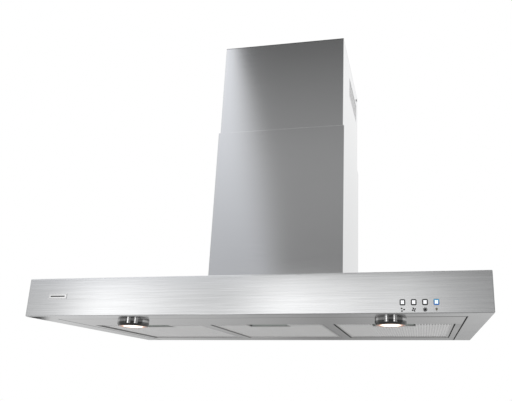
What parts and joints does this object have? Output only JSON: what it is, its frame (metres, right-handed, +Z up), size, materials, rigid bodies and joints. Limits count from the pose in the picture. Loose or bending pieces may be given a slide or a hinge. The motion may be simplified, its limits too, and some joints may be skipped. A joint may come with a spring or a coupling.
{
  "type": "canopy range hood",
  "caption": "Wall canopy range hood: wide flat steel canopy under a telescoping chimney, with tilting mesh grease filters, puck lamps, push buttons, a blower and a duct collar.",
  "frame": {"origin": "centre of the four wall screw holes in the wall plate, on the wall plane", "axes": "+X to the right seen from the front, +Y into the wall, +Z up"},
  "size_m": [0.9, 0.5011, 0.733],
  "materials": {
    "brushed_steel": "brushed along the sheet, satin",
    "underside_steel": "fine brushed, reflective",
    "plain_steel": "galvanised, matt",
    "badge": "polished, blank",
    "vent": "light grey moulded",
    "screws": "plated",
    "glide": "natural nylon",
    "scroll": "black moulded",
    "wheel": "dark grey moulded",
    "motor_metal": "cast",
    "rubber": "matt",
    "capacitor_case": "white moulded",
    "collar": "black moulded",
    "filter_aluminium": "bare, satin",
    "latch": "grey moulded",
    "spring": "spring steel",
    "lamp_chrome": "polished",
    "lamp_glass": "frosted, lit warm",
    "lamp_mirror": "polished",
    "lamp_holder": "ceramic white",
    "button_white": "translucent white",
    "button_rim": "dark, smooth",
    "board": "green board",
    "case": "black moulded"
  },
  "bodies": {
    "hood": {"canopy_fascia": "brushed_steel", "canopy_top": "brushed_steel", "lower_chimney_cover": "brushed_steel", "bottom_panel": "underside_steel", "canopy_back": "plain_steel", "front_partition": "plain_steel", "blower_box": "plain_steel", "wall_plate": "plain_steel", "motor_bracket": "plain_steel", "badge_plate": "badge", "blower_screws": "screws", "damper_pin": "screws", "cover_glides": "glide", "volute_left": "scroll", "volute_right": "scroll", "motor": "motor_metal", "motor_grommets": "rubber", "capacitor": "capacitor_case", "outlet_collar": "collar", "lamp_clips": "spring", "lamp_ring_left": "lamp_chrome", "lamp_ring_right": "lamp_chrome", "lamp_lens_left": "lamp_glass", "lamp_lens_right": "lamp_glass", "lamp_reflector_left": "lamp_mirror", "lamp_reflector_right": "lamp_mirror", "lamp_socket_left": "lamp_holder", "lamp_socket_right": "lamp_holder", "button_housing": "button_rim", "switch_board": "board", "control_box": "case", "control_box_lid": "case", "terminal_box": "case", "cable_gland": "case", "lamp_driver": "case"},
    "upper_cover": {"upper_chimney_cover": "brushed_steel", "chimney_bracket": "plain_steel", "cover_screws": "screws", "vent_grille_left": "vent", "vent_grille_right": "vent"},
    "fan_wheel": {"impeller": "wheel", "motor_shaft": "motor_metal"},
    "damper_front": {"damper_flap_front": "collar"},
    "damper_back": {"damper_flap_back": "collar"},
    "filter_left": {"filter_frame_left": "filter_aluminium", "filter_mesh_left": "filter_aluminium", "latch_spring_left": "spring"},
    "latch_left": {"filter_latch_left": "latch"},
    "filter_middle": {"filter_frame_middle": "filter_aluminium", "filter_mesh_middle": "filter_aluminium", "latch_spring_middle": "spring"},
    "latch_middle": {"filter_latch_middle": "latch"},
    "filter_right": {"filter_frame_right": "filter_aluminium", "filter_mesh_right": "filter_aluminium", "latch_spring_right": "spring"},
    "latch_right": {"filter_latch_right": "latch"},
    "button_low": {"button_low": "button_white"},
    "button_medium": {"button_medium": "button_white"},
    "button_high": {"button_high": "button_white"},
    "button_light": {"button_light": "button_white"}
  },
  "joints": [
    {"name": "cover_slide", "type": "slide", "parent": "hood", "child": "upper_cover", "axis": [0, 0, 1], "range_m": [-0.12, 0.12]},
    {"name": "fan_spin", "type": "hinge", "parent": "hood", "child": "fan_wheel", "pos_m": [0, -0.1, -0.016], "axis": [1, 0, 0], "continuous": true},
    {"name": "damper_front_swing", "type": "hinge", "parent": "hood", "child": "damper_front", "pos_m": [0, -0.15, 0.132], "axis": [-1, 0, 0], "range_deg": [0, 80]},
    {"name": "damper_back_swing", "type": "hinge", "parent": "hood", "child": "damper_back", "pos_m": [0, -0.15, 0.132], "axis": [1, 0, 0], "range_deg": [0, 80]},
    {"name": "filter_left_tilt", "type": "hinge", "parent": "hood", "child": "filter_left", "pos_m": [-0.269, -0.07, -0.209], "axis": [1, 0, 0], "range_deg": [0, 50]},
    {"name": "latch_left_slide", "type": "slide", "parent": "filter_left", "child": "latch_left", "axis": [0, 1, 0], "range_m": [0, 0.0045], "stiffness_N_per_m": 250, "springref_m": -0.004, "deforming": ["latch_spring_left"]},
    {"name": "filter_middle_tilt", "type": "hinge", "parent": "hood", "child": "filter_middle", "pos_m": [0, -0.07, -0.209], "axis": [1, 0, 0], "range_deg": [0, 50]},
    {"name": "latch_middle_slide", "type": "slide", "parent": "filter_middle", "child": "latch_middle", "axis": [0, 1, 0], "range_m": [0, 0.0045], "stiffness_N_per_m": 250, "springref_m": -0.004, "deforming": ["latch_spring_middle"]},
    {"name": "filter_right_tilt", "type": "hinge", "parent": "hood", "child": "filter_right", "pos_m": [0.269, -0.07, -0.209], "axis": [1, 0, 0], "range_deg": [0, 50]},
    {"name": "latch_right_slide", "type": "slide", "parent": "filter_right", "child": "latch_right", "axis": [0, 1, 0], "range_m": [0, 0.0045], "stiffness_N_per_m": 250, "springref_m": -0.004, "deforming": ["latch_spring_right"]},
    {"name": "press_low", "type": "slide", "parent": "hood", "child": "button_low", "axis": [0, 1, 0], "range_m": [0, 0.0015], "stiffness_N_per_m": 500, "springref_m": -0.001},
    {"name": "press_medium", "type": "slide", "parent": "hood", "child": "button_medium", "axis": [0, 1, 0], "range_m": [0, 0.0015], "stiffness_N_per_m": 500, "springref_m": -0.001},
    {"name": "press_high", "type": "slide", "parent": "hood", "child": "button_high", "axis": [0, 1, 0], "range_m": [0, 0.0015], "stiffness_N_per_m": 500, "springref_m": -0.001},
    {"name": "press_light", "type": "slide", "parent": "hood", "child": "button_light", "axis": [0, 1, 0], "range_m": [0, 0.0015], "stiffness_N_per_m": 500, "springref_m": -0.001}
  ]
}
